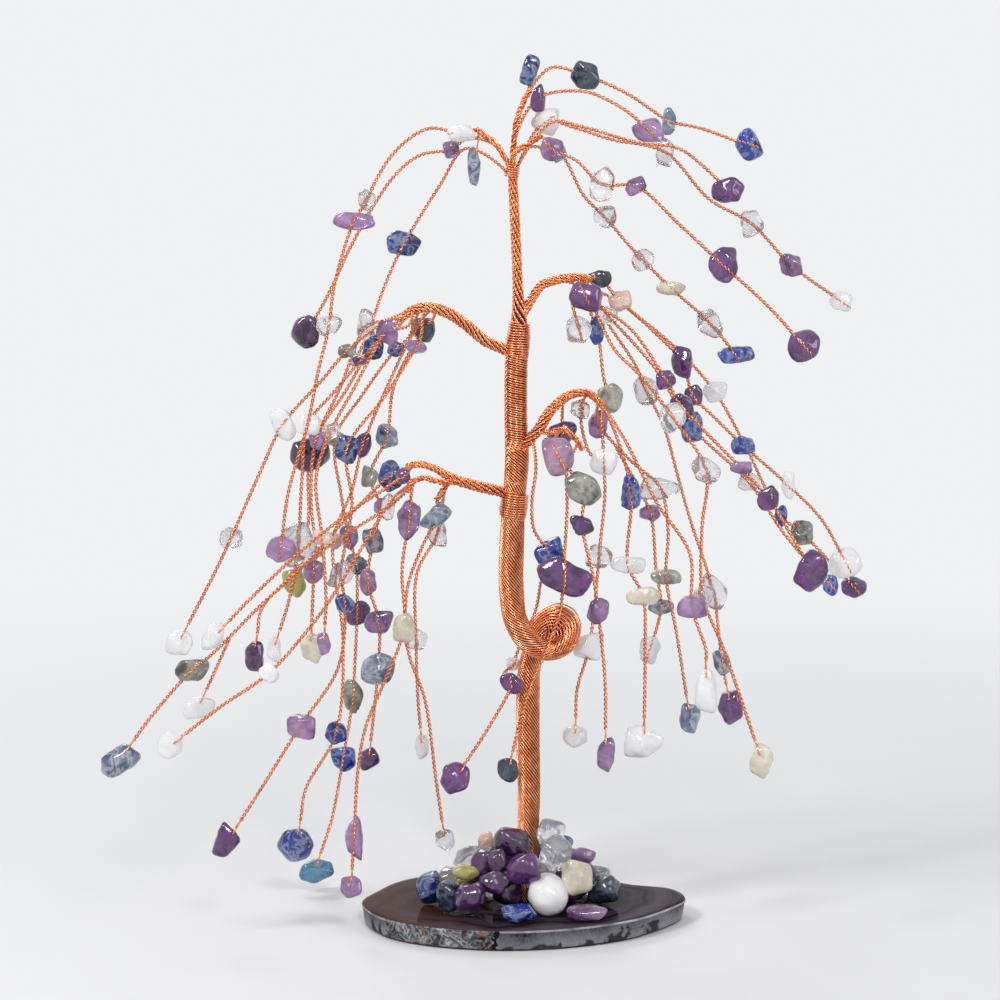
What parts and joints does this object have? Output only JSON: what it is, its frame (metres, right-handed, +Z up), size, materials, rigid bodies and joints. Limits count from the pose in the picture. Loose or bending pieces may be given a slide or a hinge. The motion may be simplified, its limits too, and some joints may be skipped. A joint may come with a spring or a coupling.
{
  "type": "gemstone tree ornament",
  "caption": "Twisted copper wire tree with a curled trunk and drilled stone chips on its strands, standing on an agate slice in a heap of glued chips.",
  "frame": {"origin": "centre of the agate slice's flat underside", "axes": "+Z up along the trunk, +X to the right and -Y towards the viewer, as in the picture"},
  "size_m": [0.2308, 0.0846, 0.262],
  "materials": {
    "copper": "bright bare copper wire",
    "agate": "polished banded agate",
    "amethyst": "polished tumbled amethyst",
    "lapis": "polished tumbled lapis",
    "quartz": "polished tumbled quartz",
    "mixed_stone": "polished tumbled mixed stone"
  },
  "bodies": {
    "tree": {"agate_base": "agate", "base_lapis": "lapis", "base_mixed": "mixed_stone", "base_amethyst": "amethyst", "base_quartz": "quartz", "trunk": "copper", "upper_left_bough": "copper", "lower_left_bough": "copper", "upper_right_bough": "copper", "middle_right_bough": "copper", "shoots": "copper", "crown_left_strands": "copper", "crown_quartz": "quartz", "crown_amethyst": "amethyst", "crown_lapis": "lapis", "crown_right_strands": "copper", "crown_mixed": "mixed_stone", "upper_left_strands": "copper", "left_mixed": "mixed_stone", "left_quartz": "quartz", "left_amethyst": "amethyst", "left_lapis": "lapis", "lower_left_strands": "copper", "upper_right_strands": "copper", "right_lapis": "lapis", "right_quartz": "quartz", "right_amethyst": "amethyst", "right_mixed": "mixed_stone", "middle_right_strands": "copper", "bindings": "copper"},
    "end_lapis_crown_sliver": {"end_lapis_crown_sliver": "lapis"},
    "end_quartz_ul_far": {"end_quartz_ul_far": "quartz"},
    "end_quartz_ul_white": {"end_quartz_ul_white": "quartz"},
    "end_mixed_ul_pink": {"end_mixed_ul_pink": "mixed_stone"},
    "end_amethyst_ul_lilac": {"end_amethyst_ul_lilac": "amethyst"},
    "end_lapis_ul_bar": {"end_lapis_ul_bar": "lapis"},
    "end_amethyst_ul_blue": {"end_amethyst_ul_blue": "amethyst"},
    "end_lapis_ul_violet": {"end_lapis_ul_violet": "lapis"},
    "end_amethyst_ul_near": {"end_amethyst_ul_near": "amethyst"},
    "end_mixed_ll_blue": {"end_mixed_ll_blue": "mixed_stone"},
    "end_quartz_ll_oval": {"end_quartz_ll_oval": "quartz"},
    "end_amethyst_ll_drop": {"end_amethyst_ll_drop": "amethyst"},
    "end_quartz_ll_round": {"end_quartz_ll_round": "quartz"},
    "end_quartz_ll_branch": {"end_quartz_ll_branch": "quartz"},
    "end_amethyst_ll_long": {"end_amethyst_ll_long": "amethyst"},
    "end_quartz_ll_bar": {"end_quartz_ll_bar": "quartz"},
    "end_quartz_ll_clear": {"end_quartz_ll_clear": "quartz"},
    "end_amethyst_ur_back": {"end_amethyst_ur_back": "amethyst"},
    "end_quartz_ur_drop": {"end_quartz_ur_drop": "quartz"},
    "end_amethyst_mr_bell": {"end_amethyst_mr_bell": "amethyst"},
    "end_lapis_mr_flat": {"end_lapis_mr_flat": "lapis"},
    "end_amethyst_mr_hex": {"end_amethyst_mr_hex": "amethyst"},
    "end_quartz_mr_clear": {"end_quartz_mr_clear": "quartz"},
    "end_quartz_mr_bow": {"end_quartz_mr_bow": "quartz"},
    "end_lapis_mr_grey": {"end_lapis_mr_grey": "lapis"},
    "end_quartz_mr_long": {"end_quartz_mr_long": "quartz"}
  },
  "joints": [
    {"name": "swing_lapis_crown_sliver", "type": "hinge", "parent": "tree", "child": "end_lapis_crown_sliver", "pos_m": [-0.01503, 0, 0.23326], "axis": [0, 1, 0], "range_deg": [-20, 20]},
    {"name": "swing_quartz_ul_far", "type": "hinge", "parent": "tree", "child": "end_quartz_ul_far", "pos_m": [-0.10015, -0.0306, 0.0934], "axis": [0, 1, 0], "range_deg": [-20, 20]},
    {"name": "swing_quartz_ul_white", "type": "hinge", "parent": "tree", "child": "end_quartz_ul_white", "pos_m": [-0.07359, -0.02025, 0.08937], "axis": [0, 1, 0], "range_deg": [-20, 20]},
    {"name": "swing_mixed_ul_pink", "type": "hinge", "parent": "tree", "child": "end_mixed_ul_pink", "pos_m": [-0.06391, -0.0063, 0.08829], "axis": [0, 1, 0], "range_deg": [-20, 20]},
    {"name": "swing_amethyst_ul_lilac", "type": "hinge", "parent": "tree", "child": "end_amethyst_ul_lilac", "pos_m": [-0.05875, -0.02925, 0.09231], "axis": [0, 1, 0], "range_deg": [-20, 20]},
    {"name": "swing_lapis_ul_bar", "type": "hinge", "parent": "tree", "child": "end_lapis_ul_bar", "pos_m": [-0.06507, 0.03375, 0.00915], "axis": [0, 1, 0], "range_deg": [-20, 20]},
    {"name": "swing_amethyst_ul_blue", "type": "hinge", "parent": "tree", "child": "end_amethyst_ul_blue", "pos_m": [-0.08678, -0.01935, 0.03231], "axis": [0, 1, 0], "range_deg": [-20, 20]},
    {"name": "swing_lapis_ul_violet", "type": "hinge", "parent": "tree", "child": "end_lapis_ul_violet", "pos_m": [-0.07001, 0.02025, 0.02281], "axis": [0, 1, 0], "range_deg": [-20, 20]},
    {"name": "swing_amethyst_ul_near", "type": "hinge", "parent": "tree", "child": "end_amethyst_ul_near", "pos_m": [-0.04691, 0.00045, 0.0519], "axis": [0, 1, 0], "range_deg": [-20, 20]},
    {"name": "swing_mixed_ll_blue", "type": "hinge", "parent": "tree", "child": "end_mixed_ll_blue", "pos_m": [-0.11637, -0.036, 0.06047], "axis": [0, 1, 0], "range_deg": [-20, 20]},
    {"name": "swing_quartz_ll_oval", "type": "hinge", "parent": "tree", "child": "end_quartz_ll_oval", "pos_m": [-0.08828, -0.0414, 0.09681], "axis": [0, 1, 0], "range_deg": [-20, 20]},
    {"name": "swing_amethyst_ll_drop", "type": "hinge", "parent": "tree", "child": "end_amethyst_ll_drop", "pos_m": [-0.08081, -0.0045, 0.08581], "axis": [0, 1, 0], "range_deg": [-20, 20]},
    {"name": "swing_quartz_ll_round", "type": "hinge", "parent": "tree", "child": "end_quartz_ll_round", "pos_m": [-0.1012, -0.04455, 0.06493], "axis": [0, 1, 0], "range_deg": [-20, 20]},
    {"name": "swing_quartz_ll_branch", "type": "hinge", "parent": "tree", "child": "end_quartz_ll_branch", "pos_m": [-0.09533, -0.0252, 0.07301], "axis": [0, 1, 0], "range_deg": [-20, 20]},
    {"name": "swing_amethyst_ll_long", "type": "hinge", "parent": "tree", "child": "end_amethyst_ll_long", "pos_m": [-0.05168, -0.0207, 0.01722], "axis": [0, 1, 0], "range_deg": [-20, 20]},
    {"name": "swing_quartz_ll_bar", "type": "hinge", "parent": "tree", "child": "end_quartz_ll_bar", "pos_m": [-0.02427, -0.0027, 0.02752], "axis": [0, 1, 0], "range_deg": [-20, 20]},
    {"name": "swing_quartz_ll_clear", "type": "hinge", "parent": "tree", "child": "end_quartz_ll_clear", "pos_m": [-0.03137, 0.009, 0.05411], "axis": [0, 1, 0], "range_deg": [-20, 20]},
    {"name": "swing_amethyst_ur_back", "type": "hinge", "parent": "tree", "child": "end_amethyst_ur_back", "pos_m": [0.06432, 0.03375, 0.06287], "axis": [0, 1, 0], "range_deg": [-20, 20]},
    {"name": "swing_quartz_ur_drop", "type": "hinge", "parent": "tree", "child": "end_quartz_ur_drop", "pos_m": [0.06818, -0.0369, 0.05992], "axis": [0, 1, 0], "range_deg": [-20, 20]},
    {"name": "swing_amethyst_mr_bell", "type": "hinge", "parent": "tree", "child": "end_amethyst_mr_bell", "pos_m": [-0.01927, -0.01125, 0.04921], "axis": [0, 1, 0], "range_deg": [-20, 20]},
    {"name": "swing_lapis_mr_flat", "type": "hinge", "parent": "tree", "child": "end_lapis_mr_flat", "pos_m": [-0.00446, -0.0063, 0.05017], "axis": [0, 1, 0], "range_deg": [-20, 20]},
    {"name": "swing_amethyst_mr_hex", "type": "hinge", "parent": "tree", "child": "end_amethyst_mr_hex", "pos_m": [0.02389, -0.0243, 0.06016], "axis": [0, 1, 0], "range_deg": [-20, 20]},
    {"name": "swing_quartz_mr_clear", "type": "hinge", "parent": "tree", "child": "end_quartz_mr_clear", "pos_m": [0.0156, 0.0072, 0.05749], "axis": [0, 1, 0], "range_deg": [-20, 20]},
    {"name": "swing_quartz_mr_bow", "type": "hinge", "parent": "tree", "child": "end_quartz_mr_bow", "pos_m": [0.03576, -0.0117, 0.06133], "axis": [0, 1, 0], "range_deg": [-20, 20]},
    {"name": "swing_lapis_mr_grey", "type": "hinge", "parent": "tree", "child": "end_lapis_mr_grey", "pos_m": [0.05035, 0.0108, 0.0636], "axis": [0, 1, 0], "range_deg": [-20, 20]},
    {"name": "swing_quartz_mr_long", "type": "hinge", "parent": "tree", "child": "end_quartz_mr_long", "pos_m": [0.05265, -0.0342, 0.08244], "axis": [0, 1, 0], "range_deg": [-20, 20]}
  ]
}
